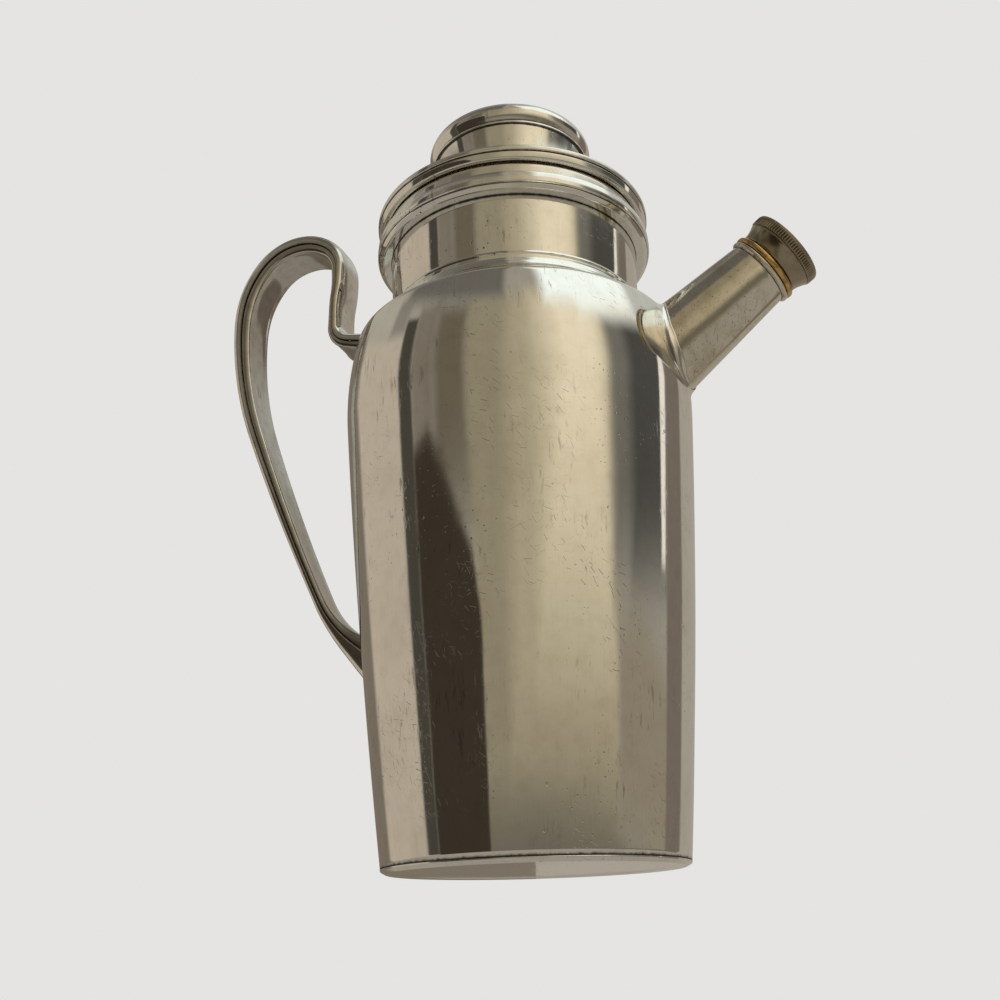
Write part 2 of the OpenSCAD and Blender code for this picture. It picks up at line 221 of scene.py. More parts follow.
class Graph:
    """A small helper that adds and joins shader nodes."""

    def __init__(self, name):
        self.material = bpy.data.materials.new(name)
        self.material.use_nodes = True
        self.tree = self.material.node_tree
        self.shader = self.tree.nodes["Principled BSDF"]

    def node(self, kind, **settings):
        made = self.tree.nodes.new(kind)
        for key, value in settings.items():
            setattr(made, key, value)
        return made

    def put(self, socket, value):
        if isinstance(value, bpy.types.NodeSocket):
            self.tree.links.new(value, socket)
        elif value is not None:
            socket.default_value = value

    def maths(self, operation, a, b=None, c=None):
        made = self.node("ShaderNodeMath", operation=operation)
        for socket, value in zip(made.inputs, (a, b, c)):
            self.put(socket, value)
        return made.outputs[0]

    def vector(self, operation, a, b=None):
        made = self.node("ShaderNodeVectorMath", operation=operation)
        self.put(made.inputs[0], a)
        self.put(made.inputs[1], b)
        return made.outputs[0]

    def scaled(self, coords, factors):
        return self.vector("MULTIPLY", coords, factors)

    def noise(self, coords, scale, detail=2.0, roughness=0.5, distortion=0.0, output="Fac"):
        made = self.node("ShaderNodeTexNoise")
        self.put(made.inputs["Vector"], coords)
        made.inputs["Scale"].default_value = scale
        made.inputs["Detail"].default_value = detail
        made.inputs["Roughness"].default_value = roughness
        made.inputs["Distortion"].default_value = distortion
        return made.outputs[output]

    def step(self, value, low, high):
        """0 where value is under low and 1 where it is over high; low may be the larger."""
        made = self.node("ShaderNodeMapRange", interpolation_type="SMOOTHSTEP")
        self.put(made.inputs["Value"], value)
        if low <= high:
            made.inputs["From Min"].default_value = low
            made.inputs["From Max"].default_value = high
            return made.outputs["Result"]
        made.inputs["From Min"].default_value = high
        made.inputs["From Max"].default_value = low
        return self.maths("SUBTRACT", 1.0, made.outputs["Result"])

    def mix(self, factor, a, b, blend="MIX"):
        made = self.node("ShaderNodeMix", data_type="RGBA", blend_type=blend)
        self.put(made.inputs["Factor"], factor)
        self.put(made.inputs["A"], a)
        self.put(made.inputs["B"], b)
        return made.outputs["Result"]

    def times(self, a, b):
        return self.maths("MULTIPLY", a, b)

    def plus(self, a, b):
        return self.maths("ADD", a, b)

    def swing(self, value, amount):
        """A 0 to 1 value turned into one between -amount / 2 and amount / 2."""
        return self.times(self.maths("SUBTRACT", value, 0.5), amount)

    def most(self, a, b):
        return self.maths("MAXIMUM", a, b)

    def parts(self, colour):
        made = self.node("ShaderNodeSeparateColor")
        self.put(made.inputs[0], colour)
        return made.outputs

    def coords(self, source="UV"):
        return self.node("ShaderNodeTexCoord").outputs[source]

    # Reads the per-point crevice darkening: partly tarnish, partly painted shade.
    def tarnish_and_shade(self):
        return self.node("ShaderNodeAttribute", attribute_name="tarnish_and_shade").outputs["Fac"]

    def cells(self, coords, scale, kind="2D"):
        """Distance to the nearest of a scatter of points, its position and its random colour."""
        made = self.node("ShaderNodeTexVoronoi", voronoi_dimensions=kind)
        self.put(made.inputs["Vector"], coords)
        made.inputs["Scale"].default_value = scale
        return made.outputs["Distance"], made.outputs["Position"], made.outputs["Color"]

    def bump(self, height):
        """height in metres."""
        made = self.node("ShaderNodeBump")
        made.inputs["Strength"].default_value = 1.0
        made.inputs["Distance"].default_value = 1.0
        self.put(made.inputs["Height"], height)
        self.put(self.shader.inputs["Normal"], made.outputs["Normal"])


def rgb(r, g, b):
    return (r, g, b, 1.0)


def scatter_nicks(g, coords, per_metre, length, width, share, tilt, spread, shift):
    """Short straight scratches, one in some of the cells, turned tilt +- spread radians."""
    moved = g.vector("ADD", coords, (shift, shift * 0.37, 0))
    _, position, colour = g.cells(moved, per_metre)
    red, green, blue = g.parts(colour)
    away = g.vector("SUBTRACT", moved, position)
    turn = g.node("ShaderNodeVectorRotate", rotation_type="Z_AXIS")
    g.put(turn.inputs["Vector"], away)
    g.put(turn.inputs["Angle"], g.plus(tilt - spread, g.times(red, 2 * spread)))
    xyz = g.node("ShaderNodeSeparateXYZ")
    g.put(xyz.inputs[0], turn.outputs[0])
    across = g.step(g.maths("ABSOLUTE", xyz.outputs[0]), width, width * 0.3)
    reach = g.times(g.plus(0.35, g.times(blue, 0.65)), length)
    along = g.maths("LESS_THAN", g.maths("ABSOLUTE", xyz.outputs[1]), reach)
    chosen = g.maths("LESS_THAN", green, share)
    return g.times(g.times(across, along), chosen)


def scatter_pits(g, coords, per_metre, size, share, shift=0.0):
    """Small round pits of varied size in some of the cells. size is a share of the cell."""
    moved = g.vector("ADD", coords, (shift, shift, 0))
    distance, _, colour = g.cells(moved, per_metre)
    red, green, _ = g.parts(colour)
    edge = g.times(g.plus(0.3, g.times(red, 0.7)), size)
    depth = g.maths("SUBTRACT", 1.0, g.maths("DIVIDE", distance, edge))
    chosen = g.maths("LESS_THAN", green, share)
    return g.times(g.step(depth, 0.0, 0.5), chosen)


def ragged(g, coords, scale, amount):
    """The coordinates shifted a little at random, which keeps round spots from looking stamped."""
    drift = g.vector("SUBTRACT", g.noise(coords, scale, 3, output="Color"), (0.5, 0.5, 0.5))
    return g.vector("ADD", coords, g.scaled(drift, (amount, amount, amount)))


def silver(name, clean=(0.86, 0.85, 0.81), dull=(0.60, 0.56, 0.47), gloss=0.045, pitted=0.35,
           nicked=0.5, streaked=1.0, dulled=0.5, stained=0.55, speckled=0.0, streak_run=0.2, source="UV",
           grain=(1.0, 0.03)):
    """Old silver plate: soft dull patches, polishing lines, pits, nicks, and black in the corners that is
    partly tarnish and partly painted shade.
    """
    g = Graph(name)
    at = g.coords(source)
    patches = g.step(g.noise(at, 22, 6, 0.62, 0.3), 0.45, 0.7)
    mottle = g.step(g.noise(at, 190, 5, 0.6), 0.42, 0.72)
    lines = g.noise(g.scaled(at, (grain[0], grain[1], 1)), 1900, 3, 0.6)
    speckle = g.noise(at, 3600, 2, 0.7)
    cluster = g.step(g.noise(at, 26, 4, 0.6, 0.6), 0.53, 0.72)
    pits = g.times(scatter_pits(g, ragged(g, at, 1400, 0.0004), 620, 0.24, pitted * 0.6), cluster)
    deep = g.times(scatter_pits(g, ragged(g, at, 900, 0.0007), 170, 0.1, pitted * 0.25, 0.3),
                   g.plus(0.25, g.times(cluster, 0.75)))
    nick_zone = g.step(g.noise(g.vector("ADD", at, (3.1, 1.7, 0)), 24, 3, 0.55), 0.5, 0.62)
    short = scatter_nicks(g, at, 330, 0.0015, 0.0001, nicked, -0.9, 0.6, 0.11)
    longer = scatter_nicks(g, at, 105, 0.0052, 0.00005, nicked * 0.6, 0.15, 1.3, 0.23)
    fine = scatter_nicks(g, at, 560, 0.0011, 0.00004, nicked, 0.7, 1.4, 0.57)
    nicks = g.times(g.most(g.most(short, g.times(fine, 0.55)), g.times(longer, 0.6)),
                    g.plus(0.04, g.times(nick_zone, 0.96)))
    stain = g.step(g.noise(g.scaled(at, (1, streak_run, 1)), 520, 6, 0.72, 0.3), 0.54, 0.66)
    stain = g.times(stain, g.step(g.noise(at, 38, 4, 0.6), 0.5, 0.66))
    spots = g.step(g.noise(at, 1150, 5, 0.72), 0.56, 0.66)
    spots = g.times(g.times(spots, g.step(g.noise(at, 90, 4, 0.6), 0.36, 0.6)), speckled)
    # Crevice darkening from the per-point amount, broken up by noise: partly tarnish, partly painted shade.
    tarnish_and_shade = g.tarnish_and_shade()
    crevice_tarnish_and_shade = g.step(g.plus(tarnish_and_shade, g.swing(g.noise(at, 420, 5, 0.6), 0.6)), 0.35, 0.8)
    crevice_tarnish_and_shade = g.times(crevice_tarnish_and_shade, g.step(tarnish_and_shade, 0.02, 0.2))

    worn = g.times(g.plus(g.times(patches, 0.6), g.times(mottle, 0.4)), dulled)
    base = g.mix(worn, rgb(*clean), rgb(*dull))
    shade = g.plus(g.plus(0.97, g.swing(lines, 0.10 * streaked)), g.swing(speckle, 0.16))
    base = g.mix(1.0, base, shade, "MULTIPLY")
    base = g.mix(g.times(g.most(pits, deep), 0.85), base, rgb(0.07, 0.055, 0.04))
    base = g.mix(g.times(nicks, 0.7), base, rgb(0.19, 0.16, 0.125))
    base = g.mix(g.times(stain, stained), base, rgb(0.17, 0.145, 0.11))
    base = g.mix(spots, base, rgb(0.10, 0.08, 0.055))
    # Near black where the crevices are darkened: tarnish and painted shade.
    base = g.mix(g.times(crevice_tarnish_and_shade, 0.93), base, rgb(0.035, 0.03, 0.024))
    g.put(g.shader.inputs["Base Color"], base)
    g.shader.inputs["Metallic"].default_value = 1.0
    rough = g.plus(gloss, g.times(worn, 0.13))
    coarse = g.most(pits, g.most(g.times(nicks, 0.4), crevice_tarnish_and_shade))
    rough = g.plus(g.plus(rough, g.times(coarse, 0.3)), g.swing(lines, 0.035 * streaked))
    g.put(g.shader.inputs["Roughness"], rough)
    height = g.times(g.noise(at, 60, 2, 0.5), 0.00003)
    height = g.plus(height, g.times(g.noise(at, 300, 2), 0.000002))
    height = g.plus(height, g.times(lines, 0.0000003 * streaked))
    height = g.plus(height, g.times(g.noise(at, 1500, 2), 0.0000006))
    for part, depth in ((pits, 0.00003), (deep, 0.00007), (nicks, 0.000016), (stain, 0.000008),
                        (spots, 0.00001)):
        height = g.maths("SUBTRACT", height, g.times(part, depth))
    g.bump(height)
    return g.material


def brass(name, clean=(0.72, 0.50, 0.20), dull=(0.30, 0.20, 0.08), gloss=0.2, source="UV"):
    g = Graph(name)
    at = g.coords(source)
    worn = g.step(g.noise(at, 260, 5, 0.65), 0.4, 0.68)
    fine = g.noise(at, 3000, 3, 0.7)
    # Crevice darkening from the per-point amount: partly tarnish, partly painted shade.
    crevice_tarnish_and_shade = g.step(g.plus(g.tarnish_and_shade(), g.times(g.noise(at, 500, 4, 0.7), 0.5)), 0.5, 0.9)
    base = g.mix(worn, rgb(*clean), rgb(*dull))
    base = g.mix(g.step(fine, 0.55, 0.75), base, rgb(0.22, 0.16, 0.08))
    # Near black in the darkened crevices: tarnish and painted shade.
    base = g.mix(crevice_tarnish_and_shade, base, rgb(0.05, 0.04, 0.025))
    g.put(g.shader.inputs["Base Color"], base)
    g.shader.inputs["Metallic"].default_value = 1.0
    g.put(g.shader.inputs["Roughness"], g.plus(gloss, g.times(worn, 0.15)))
    g.bump(g.plus(g.times(fine, 0.000004), g.times(g.noise(at, 300, 3), 0.00002)))
    return g.material


def cork(name):
    g = Graph(name)
    at = g.coords("Object")
    grains = g.noise(at, 900, 5, 0.7)
    _, _, colour = g.cells(at, 700, "3D")
    base = g.mix(g.step(grains, 0.3, 0.7), rgb(0.42, 0.27, 0.14), rgb(0.20, 0.12, 0.06))
    base = g.mix(g.times(g.parts(colour)[0], 0.4), base, rgb(0.55, 0.38, 0.22))
    g.put(g.shader.inputs["Base Color"], base)
    g.put(g.shader.inputs["Roughness"], g.plus(0.75, g.times(grains, 0.2)))
    g.bump(g.times(grains, 0.0002))
    return g.material


# ---- body, base and neck ----


def wall_path():
    """The body's outside from the seam to the neck, as (radius, height, lean)."""
    rise, run = WIDEST_Z - SEAM_Z, MAX_R - BASE_R
    chord = math.hypot(rise, run)
    bulge = 0.9
    radius = chord * chord / (8 * bulge) + bulge / 2
    lean = -math.degrees(math.atan(run / rise))
    half = math.degrees(math.asin(chord / 2 / radius))
    path = [(BASE_R, SEAM_Z, lean - half)]
    path += arc_up(path[-1], radius, lean + half, 90)
    path += arc_up(path[-1], 105, 13, 24)
    path += arc_up(path[-1], 4, 80, 16)
    foot = NECK_R - NECK_FLARE
    cove = (path[-1][0] - foot) / (1 - math.cos(math.radians(80)))
    path += arc_up(path[-1], -cove, 0, 40)
    return path


WALL = wall_path()
WALL_HEIGHTS = [p[1] for p in WALL]
NECK_Z = WALL[-1][1]


def wall_radius(z):
    """Outside radius of the body or neck at a height."""
    if z >= NECK_Z:
        return WALL[-1][0]
    i = min(max(bisect.bisect_right(WALL_HEIGHTS, z) - 1, 0), len(WALL) - 2)
    a, b = WALL[i], WALL[i + 1]
    if b[1] == a[1]:
        return a[0]
    return a[0] + (b[0] - a[0]) * (z - a[1]) / (b[1] - a[1])


def tooled(path, lines, depth, width):
    """The path with fine turned grooves cut at the given heights."""
    out = []
    for r, z, lean in path:
        cut = sum(depth * smooth(1 - abs(z - at) / width) for at in lines)
        out.append((r - cut * math.cos(math.radians(lean)), z - cut * math.sin(math.radians(lean)), lean))
    return out


def build_body(material):
    lines = (182.4, 183.6, 184.7)
    path = tooled(WALL, lines, 0.09, 0.5)
    outer = [(p[0], p[1]) for p in path]
    inner = inset(WALL[::2] if len(WALL) % 2 else WALL[::2] + [WALL[-1]], SHEET)
    profile = outer + inner[::-1]
    # Darkened at the base seam, the neck's foot and the turned lines: tarnish and painted shade.
    obj = lathe("body", profile, wave=0.05, tarnish_and_shade_bands=((SEAM_Z, 1.2, 0.75), (NECK_Z, 0.9, 0.5),
                                                    (182.4, 0.35, 0.3), (183.6, 0.35, 0.3)))
    cut_spout_hole(obj)
    return finish_piece(obj, material, "vessel", ["body_shell"])


def cut_spout_hole(obj):
    """The round way from the body into the spout."""
    cutter = lathe("cutter", [(HOLE_R, -18), (HOLE_R, 25), (0, 25), (0, -18)], place=SPOUT_AT, segments=96)
    cut = obj.modifiers.new("cut", "BOOLEAN")
    cut.operation, cut.solver, cut.object = "DIFFERENCE", "EXACT", cutter
    apply_modifier(obj, cut)
    bpy.data.objects.remove(cutter)


def build_base(material):
    """Stamped pan with a rolled heel and a faint step inside the heel."""
    profile = [(0, 0.45), (30, 0.42), (38.4, 0.38), (39.2, 0.12, 0.5), (40.2, 0.0, 0.6), (44.4, 0.0, 1.1),
               (BASE_R + 0.1, 0.9, 0.6), (BASE_R, SEAM_Z - 0.12, 0.3), (BASE_R - 0.6, SEAM_Z - 0.1),
               (BASE_R - 2.4, 1.5), (0, 1.5)]
    # Darkened along the seam: tarnish and painted shade.
    obj = lathe("base", resample(rounded(profile, 8), 2.5), tarnish_and_shade_bands=((SEAM_Z, 0.5, 0.9),))
    mark_sharp(obj)
    return finish_piece(obj, material, "vessel", ["base_pan"])


def build_neck(material):
    foot, top = NECK_R - NECK_FLARE, NECK_R + NECK_FLARE
    outer = [(foot, NECK_Z - 0.3), (foot + 0.22, NECK_Z + 0.35, 0.3), (foot + 0.02, NECK_Z + 1.0, 0.4),
             (top, RIM_Z), (top, SEAT_Z - SHEET)]
    inner = [(top - SHEET, SEAT_Z - SHEET), (top - SHEET, RIM_Z), (foot - SHEET, NECK_Z)]
    profile = resample(rounded(outer), 1.5) + resample(inner, 3)
    # Darkened at the neck's foot and under the rim: tarnish and painted shade.
    obj = lathe("neck", profile, wave=0.03, seed=7, tarnish_and_shade_bands=((NECK_Z + 0.2, 0.8, 0.55), (RIM_Z, 1.6, 0.9)))
    mark_sharp(obj)
    return finish_piece(obj, material, "vessel", ["neck"])


def build_rim(material):
    """Hollow rolled rim with a turned groove under its upright band, and the step that seats the lid."""
    top = NECK_R + NECK_FLARE
    step = NECK_R + 2.6
    profile = rounded([
        (top, RIM_Z + 0.5), (top + 0.1, RIM_Z, 0.1), (RIM_R - 1.9, RIM_Z + 0.05, 1.4),
        (RIM_R - 0.55, RIM_Z + 1.35, 0.4), (RIM_R - 0.75, RIM_Z + 1.6, 0.15),
        (RIM_R - 0.05, RIM_Z + 1.95, 0.35), (RIM_R, RIM_Z + 3.5, 6),
        (RIM_R - 0.2, RIM_Z + RIM_H, 0.8), (step, RIM_Z + RIM_H - 0.05, 0.3),
        (step, SEAT_Z, 0.6), (NECK_R - 2.2, SEAT_Z, 0.3), (NECK_R - 2.2, SEAT_Z - SHEET),
        (top - 0.3, SEAT_Z - SHEET)], 8)
    # Darkened in the groove, at the lid's seat and at the rim's foot: tarnish and painted shade.
    obj = lathe("neck_rim", resample(profile, 1.2), wave=0.02, seed=3,
                tarnish_and_shade_bands=((RIM_Z + 1.55, 0.35, 0.9), (RIM_Z + RIM_H + 0.3, 0.8, 0.6), (RIM_Z, 0.25, 0.35)))
    mark_sharp(obj)
    return finish_piece(obj, material, "vessel", ["neck_rim"])


# ---- lid ----


def build_lid(material):
    """Rolled edge over a lower band, and the cover that rises to the knob."""
    roll_z, edge_r = SEAT_Z + 0.6, RIM_R
    crown = [(edge_r - 2.9, roll_z + 5.8, 90)]
    crown += arc_up(crown[-1], -12, 55, 16)
    crown += arc_up(crown[-1], 30, 82, 24)
    under = [(NECK_R - 4, 0.9), (edge_r - 4.2, 0.9, 0.3), (edge_r - 4.0, 0.05, 0.4), (edge_r - 1.1, 0, 1.0),
             (edge_r - 0.35, 2.45, 0.5), (edge_r - 0.95, 2.75, 0.12), (edge_r, 2.95, 0.4),
             (edge_r + 0.02, 4.4, 0.9), (edge_r - 1.4, 5.75, 1.2), (edge_r - 2.9, 5.8)]
    under = [(p[0], roll_z + p[1], *p[2:]) for p in under]
    outer = rounded(under, 8)[:-1] + [(p[0], p[1]) for p in crown] + [(0, crown[-1][1] + 0.35)]
    inner = [(0, crown[-1][1] - 0.8)] + inset(crown, SHEET)[::-1] + [(edge_r - 4.6, roll_z + 4)]
    # Darkened in the roll's crease and along its foot on the rim: tarnish and painted shade.
    obj = lathe("lid_cover", resample(outer, 1.2) + resample(inner, 2), wave=0.02, seed=11,
                tarnish_and_shade_bands=((roll_z + 2.72, 0.4, 0.9), (roll_z + 0.2, 0.8, 0.35)))
    mark_sharp(obj)
    return finish_piece(obj, material, "lid", ["lid_crown"]), crown[-1]


def build_knob(material, crown_top):
    """Drum with a small bead and a large rolled bead, closed by a gently dished top."""
    drum_r, bead_r, edge_r = 28.3, 4.7, 30.1
    foot_z = wall_foot(crown_top, drum_r)
    side = [(drum_r + 0.5, foot_z - 0.4), (drum_r + 0.5, foot_z + 0.25, 0.3),
            (drum_r - 0.1, foot_z + 0.5, 0.3)]
    for k in range(1, 12):
        u = k / 12
        side.append((drum_r - 0.1 - 0.5 * math.sin(math.pi * u), foot_z + 0.5 + (250.1 - foot_z - 0.5) * u))
    side += [(drum_r - 0.1, 250.1, 0.2), (drum_r + 0.75, 250.4, 0.3), (drum_r + 0.75, 251.1, 0.3),
             (drum_r + 0.25, 251.5, 0.15)]
    top = TOTAL_H - bead_r
    side += [(edge_r - bead_r + bead_r * math.cos(a), top + bead_r * math.sin(a))
             for a in (math.radians(-32 + 122 * k / 24) for k in range(25))]
    side += [(edge_r - bead_r - 1.2, TOTAL_H - 0.12), (edge_r - bead_r - 2.0, TOTAL_H - 0.75, 0.6),
             (12, TOTAL_H - 1.3, 20), (0, TOTAL_H - 1.4)]
    side += [(0, TOTAL_H - 2.4), (drum_r - 3, TOTAL_H - 2.6), (drum_r - 1.1, 250),
             (drum_r - 0.9, foot_z - 0.4)]
    # Darkened along the beads, at the drum's foot and at the top edge: tarnish and painted shade.
    obj = lathe("knob", resample(rounded(side, 6), 1.2), wave=0.03, seed=17,
                tarnish_and_shade_bands=((250.2, 0.5, 0.9), (251.5, 0.45, 0.9), (foot_z + 0.6, 0.8, 0.9),
                        (TOTAL_H - 0.7, 0.35, 0.4)))
    mark_sharp(obj)
    return finish_piece(obj, material, "lid", ["knob_drum", "knob_top"])


def wall_foot(crown_top, radius):
    """Height of the cover's surface at the knob's wall."""
    return crown_top[1] - 0.35 if crown_top[0] < radius else crown_top[1]


# ---- spout and cap ----

SPOUT_AT = Matrix.Translation((SPOUT_X, 0, SPOUT_Z)) @ Matrix.Rotation(math.radians(90 - SPOUT_TILT), 4, "Y")


def tube_radius(s):
    """Outside radius of the spout, s along it from its root."""
    return SPOUT_ROOT_R + (SPOUT_LIP_R - SPOUT_ROOT_R) * s / SPOUT_LEN


def on_axis(r, a, s):
    """The point s along the spout's axis, r from it and a radians round it."""
    return SPOUT_AT @ Vector((r * math.cos(a), r * math.sin(a), s))


def on_tube(phi, s, extra=0.0):
    """The point at s along the spout and phi round it, extra mm outside the tube."""
    return on_axis(tube_radius(s) + extra, phi, s)


def meet_wall(phi, extra, inside=0.0):
    """Distance along the spout at which a line on it, extra mm outside the tube, leaves the body."""
    low, high = -22.0, 34.0
    for _ in range(22):
        s = (low + high) / 2
        p = on_tube(phi, s, extra)
        if math.hypot(p.x, p.y) < wall_radius(p.z) - inside:
            low = s
        else:
            high = s
    return high


def along(knots, x):
    """Smooth curve through (x, y) knots."""
    for (a, ya), (b, yb) in zip(knots, knots[1:]):
        if x <= b:
            return ya + (yb - ya) * smooth((x - a) / (b - a))
    return knots[-1][1]


# By degrees round the spout from its underside
JOINT_RISE = ((0, 1.1), (20, 1.9), (45, 3.0), (70, 2.9), (95, 2.2), (120, 1.8), (180, 1.6))
COLLAR_REACH = ((0, 1.0), (30, 1.6), (50, 2.8), (70, 4.2), (95, 6.0), (140, 5.5), (180, 4.5))


def build_collar(material):
    """The body's metal drawn out round the spout's root: a fillet from the wall up onto the tube."""
    count, steps, lip = 240, 18, 0.42
    rows = [[] for _ in range(steps + 5)]
    tarnish_and_shade = [[] for _ in range(steps + 5)]
    for j in range(count):
        phi = 2 * math.pi * j / count
        side = abs(math.degrees((phi + math.pi) % (2 * math.pi) - math.pi))
        rise, reach = along(JOINT_RISE, side), along(COLLAR_REACH, side)
        for k in range(steps + 1):
            a = math.pi / 2 * k / steps
            out = lip + reach * (1 - math.sin(a))
            up = rise * (1 - math.cos(a)) ** 1.6
            p = on_tube(phi, meet_wall(phi, out) + up, out)
            rows[k + 1].append(p - Vector((p.x, p.y, 0)).normalized() * 0.1 * (1 - k / steps) ** 3)
            # The top of the fillet, where it meets the tube, is darkened a little: tarnish and painted shade.
            tarnish_and_shade[k + 1].append(0.35 * smooth((k / steps - 0.9) / 0.1))
        foot = rows[1][-1]
        rows[0].append(foot + (foot - rows[2][-1]) - Vector((foot.x, foot.y, 0)).normalized() * 0.1)
        tarnish_and_shade[0].append(0.0)
        top = meet_wall(phi, lip) + rise
        # The last rows turn in under the tube's surface and are darkened most, the dark line in the gap:
        # tarnish and painted shade.
        for row, (s, extra, gap_tarnish_and_shade) in enumerate(((top + 0.14, lip - 0.16, 0.6), (top - 0.1, 0.12, 1.0),
                                                 (top - 0.9, -0.2, 1.0))):
            rows[steps + 2 + row].append(on_tube(phi, s, extra))
            tarnish_and_shade[steps + 2 + row].append(gap_tarnish_and_shade)
    flat = [d for row in tarnish_and_shade for d in row]
    u_at = [90.0 * j / count for j in range(count + 1)]
    mesh = grid_mesh("spout_collar", rows, True, False, u_at, [0.7 * i for i in range(steps + 6)], flat)
    obj = make_object("spout_collar", mesh)
    tidy_mesh(obj)
    return finish_piece(obj, material, "vessel", ["spout_saddle"])


def build_spout(material):
    """Cone from the joint to a flared lip, with the wall's thickness inside."""
    count, steps, end = 180, 30, SPOUT_LEN + 0.9
    rows, tarnish_and_shade, v_at = [], [], []
    angles = [2 * math.pi * j / count for j in range(count)]
    starts = [meet_wall(phi, 0.0, SHEET + 0.2) for phi in angles]
    for u in (k / steps for k in range(steps + 1)):
        row = []
        for phi, start in zip(angles, starts):
            s = start + (SPOUT_LEN - 2.0 - start) * u
            uneven = 0.03 * noise.noise(Vector((math.cos(phi), math.sin(phi), s / 12)))
            row.append(on_axis(tube_radius(s) + uneven, phi, s))
        rows.append(row)
        v_at.append(44 * u)
        tarnish_and_shade += [0.0] * count
    lip = rounded([(SPOUT_LIP_R + 0.07, SPOUT_LEN - 2.0), (SPOUT_LIP_R + 0.02, SPOUT_LEN - 0.9, 0.5),
                   (SPOUT_LIP_R + 1.05, SPOUT_LEN - 0.35, 0.5), (SPOUT_LIP_R + 1.1, SPOUT_LEN + 0.55, 0.45),
                   (SPOUT_LIP_R + 0.4, end), (SPOUT_LIP_R - 1.0, end), (SPOUT_LIP_R - 1.0, SPOUT_LEN - 4)], 8)
    for i, (r, s) in enumerate(lip[1:]):
        rows.append([on_axis(r, phi, s) for phi in angles])
        v_at.append(v_at[-1] + 0.3)
        # Darkened crease under the lip's flare and inside the lip: tarnish and painted shade.
        tarnish_and_shade += [0.75 * smooth(1 - abs(s - (SPOUT_LEN - 0.95)) / 0.5) if i < 12 else 0.2] * count
    for u in (0.6, 0.3, 0.0):
        rows.append([on_tube(phi, start + (SPOUT_LEN - 6 - start) * u, -SHEET)
                     for phi, start in zip(angles, starts)])
        v_at.append(v_at[-1] + 10)
        # The inside of the tube is darkened: painted shade and tarnish.
        tarnish_and_shade += [0.3] * count
    v_at.append(v_at[-1] + 1)
    u_at = [80.0 * j / count for j in range(count + 1)]
    obj = make_object("spout", grid_mesh("spout", rows, True, True, u_at, v_at, tarnish_and_shade))
    tidy_mesh(obj)
    mark_sharp(obj)
    return finish_piece(obj, material, "vessel", ["spout_tube"])


def build_nozzle(material):
    """Brass collar on the spout's lip with the threaded neck that the cap screws on."""
    ring, root, bore = 12.8, 9.0, 7.6
    z0 = SPOUT_LEN + 0.95
    lip = SPOUT_LIP_R
    profile = rounded([(bore, z0 - 3), (lip - 0.6, z0 - 3), (lip - 0.6, z0 - 0.1), (lip + 0.5, z0, 0.2),
                       (ring - 0.05, z0 + 0.1, 0.8), (ring - 0.05, z0 + 1.95, 0.85),
                       (ring - 1.6, z0 + 2.1, 0.3), (root, z0 + 2.15, 0.3), (root, SPOUT_LEN + 9.4, 0.3),
                       (root - 0.5, SPOUT_LEN + 9.7, 0.3), (bore, SPOUT_LEN + 9.7)], 8)
    obj = lathe("nozzle", resample(profile, 1.0), place=SPOUT_AT, segments=144)
    mark_sharp(obj)
    thread = helix("nozzle_thread", root - 0.1, 0.85, 2.1, SPOUT_LEN + 4.2)
    finish_piece(thread, material, "vessel", [])
    thread.parent = obj
    thread.matrix_parent_inverse = obj.matrix_world.inverted()
    return finish_piece(obj, material, "vessel", ["spout_nozzle"])


def helix(name, root, depth, turns, start):
    """One rounded thread ridge round the spout's axis that fades at both ends."""
    steps, rows, section = int(turns * 72), [], 10
    for i in range(steps + 1):
        a, s = 2 * math.pi * i / 72, start + PITCH * i / 72
        fade = min(1.0, i / 14, (steps - i) / 14)
        row = []
        for k in range(section + 1):
            b = math.pi * k / section
            r = root + depth * fade * math.sin(b) ** 0.8
            row.append(on_axis(r, a, s - 0.5 * math.cos(b)))
        rows.append(row)
    obj = make_object(name, grid_mesh(name, rows, True, False))
    tidy_mesh(obj, 1e-6)
    return obj


